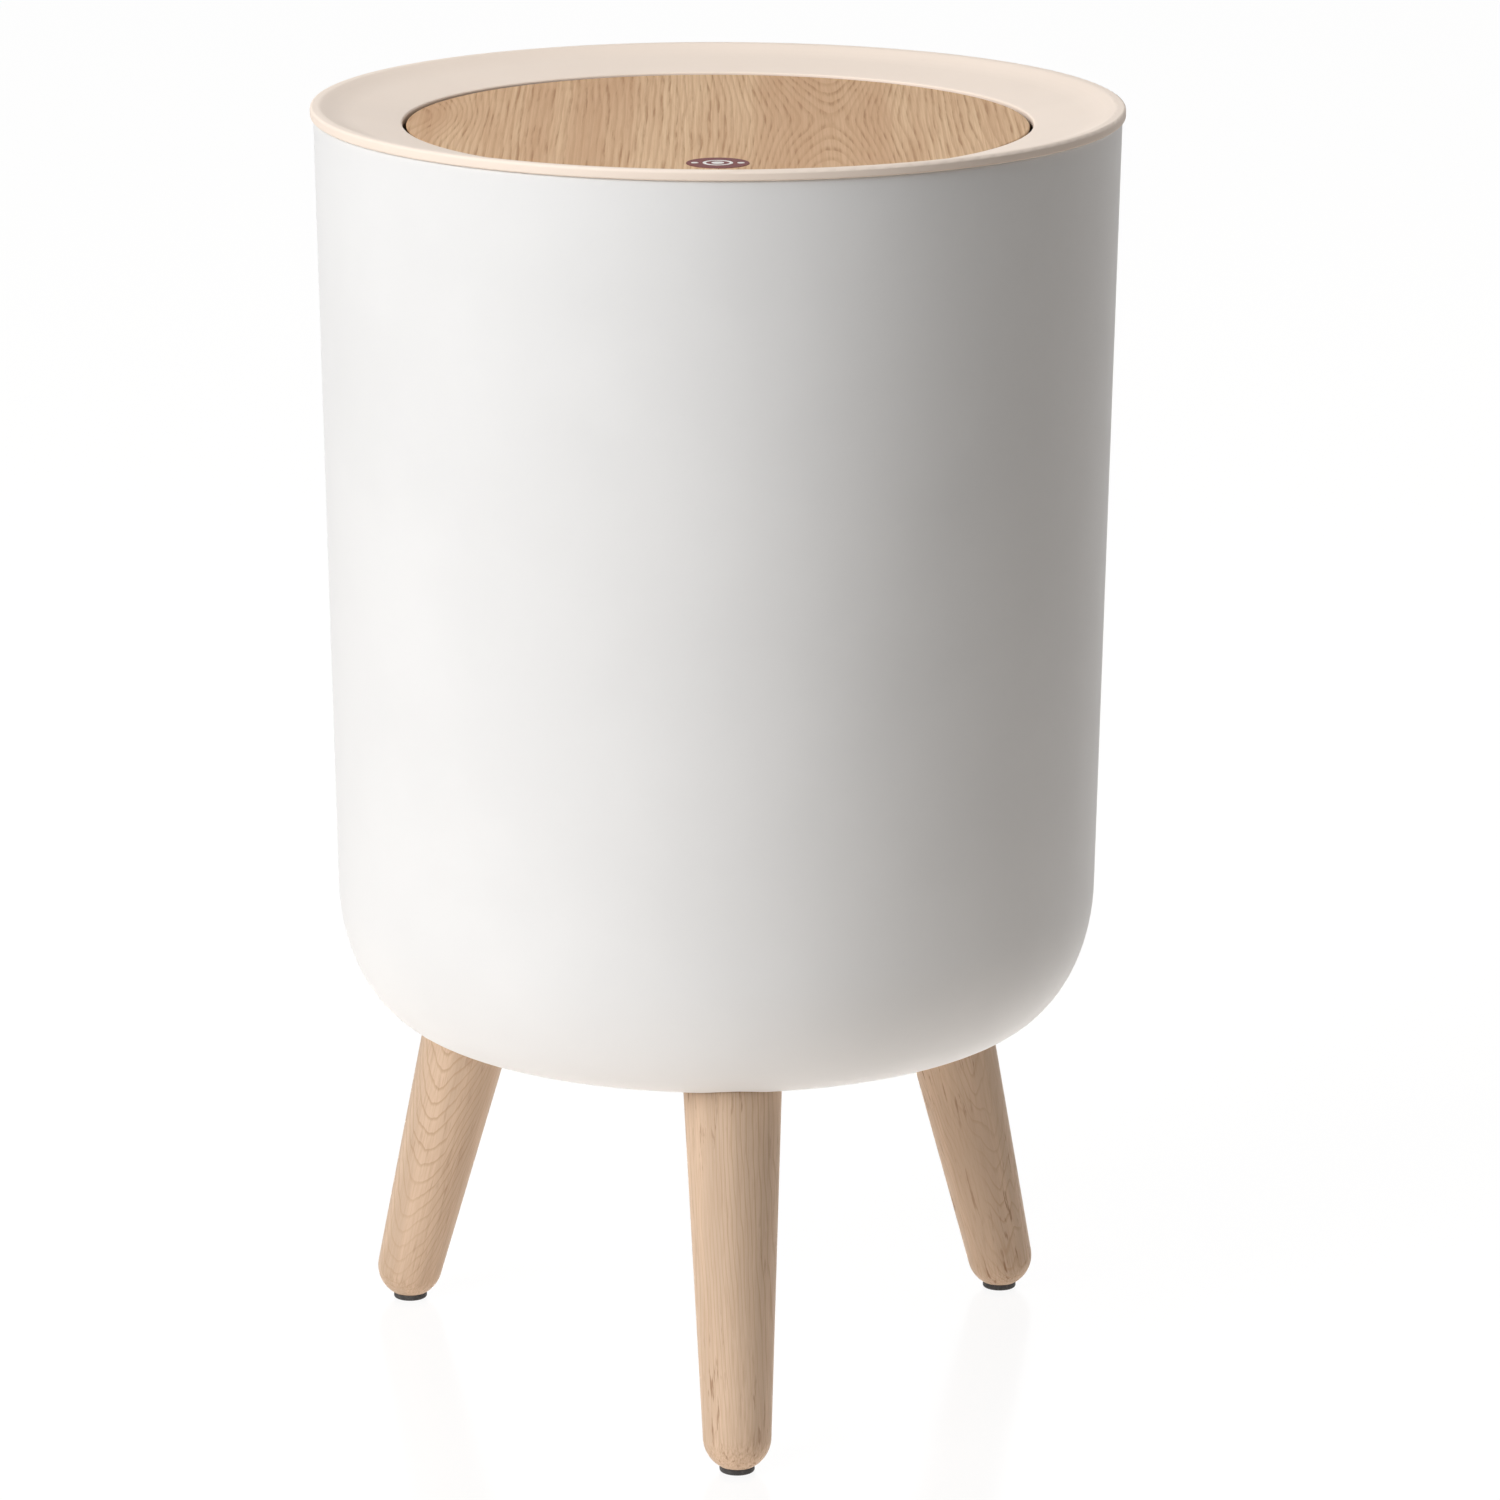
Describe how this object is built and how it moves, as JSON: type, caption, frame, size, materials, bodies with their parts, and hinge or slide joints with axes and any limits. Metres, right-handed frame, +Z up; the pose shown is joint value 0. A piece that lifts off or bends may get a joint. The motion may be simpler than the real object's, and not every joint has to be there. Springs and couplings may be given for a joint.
{
  "type": "waste bin",
  "caption": "Round waste bin on splayed wooden legs, with a cream collar, a wood-grain lid pressed to pop open, and a lift-out bucket.",
  "frame": {"origin": "on the floor under the bin's axis, midway between the rim's sides", "axes": "+Z up, -Y is the front with the badge and the catch, +Y the hinge side, +X to the right seen from the front"},
  "size_m": [0.2262, 0.2262, 0.365],
  "materials": {
    "body_white": "fine moulded satin",
    "collar_cream": "smooth satin",
    "lid_cream": "moulded satin",
    "lid_grain": "printed oak grain, matte",
    "leg_wood": "oiled light oak",
    "pad_rubber": "matte",
    "bucket_grey": "moulded satin",
    "badge_red": "satin film",
    "steel": "zinc plated",
    "spring_steel": "drawn wire",
    "insert_brass": "turned",
    "catch_grey": "moulded",
    "catch_dark": "moulded"
  },
  "bodies": {
    "body": {"outer_body": "body_white", "leg_front": "leg_wood", "leg_right": "leg_wood", "leg_left": "leg_wood", "leg_studs": "steel", "leg_inserts": "insert_brass", "foot_pad_front": "pad_rubber", "foot_pad_right": "pad_rubber", "foot_pad_left": "pad_rubber"},
    "collar": {"collar": "collar_cream", "latch_housing": "catch_grey", "latch_spring": "spring_steel", "latch_cam_pin": "spring_steel", "latch_screws": "steel"},
    "bucket": {"inner_bucket": "bucket_grey"},
    "hinge": {"hinge_pin": "steel", "hinge_clips": "steel", "hinge_spring": "spring_steel"},
    "lid": {"lid_panel": "lid_grain", "lid_base": "lid_cream", "lid_badge": "badge_red", "lid_screws": "steel", "latch_striker": "catch_dark"},
    "plunger": {"latch_plunger": "catch_dark"}
  },
  "joints": [
    {"name": "collar_lift", "type": "slide", "parent": "body", "child": "collar", "axis": [0, 0, 1], "range_m": [0, 0.56]},
    {"name": "bucket_lift", "type": "slide", "parent": "body", "child": "bucket", "axis": [0, 0, 1], "range_m": [0, 0.28]},
    {"name": "lid_open", "type": "hinge", "parent": "collar", "child": "hinge", "pos_m": [0, 0.0965, 0.3549], "axis": [-1, 0, 0], "range_deg": [0, 80], "deforming": ["hinge_spring"]},
    {"name": "lid_press", "type": "hinge", "parent": "hinge", "child": "lid", "pos_m": [0, 0.0965, 0.3549], "axis": [-1, 0, 0], "range_deg": [-1.05, 0], "stiffness_Nm_per_rad": 2, "springref_deg": 11.46},
    {"name": "latch_travel", "type": "slide", "parent": "collar", "child": "plunger", "axis": [0, 0, 1], "range_m": [-0.00327, 0], "deforming": ["latch_spring"]}
  ],
  "couplings": [
    {"joint": "bucket_lift", "follows": "collar_lift", "ratio": 0.5},
    {"joint": "latch_travel", "follows": "lid_press", "m_per_rad": 0.173}
  ]
}
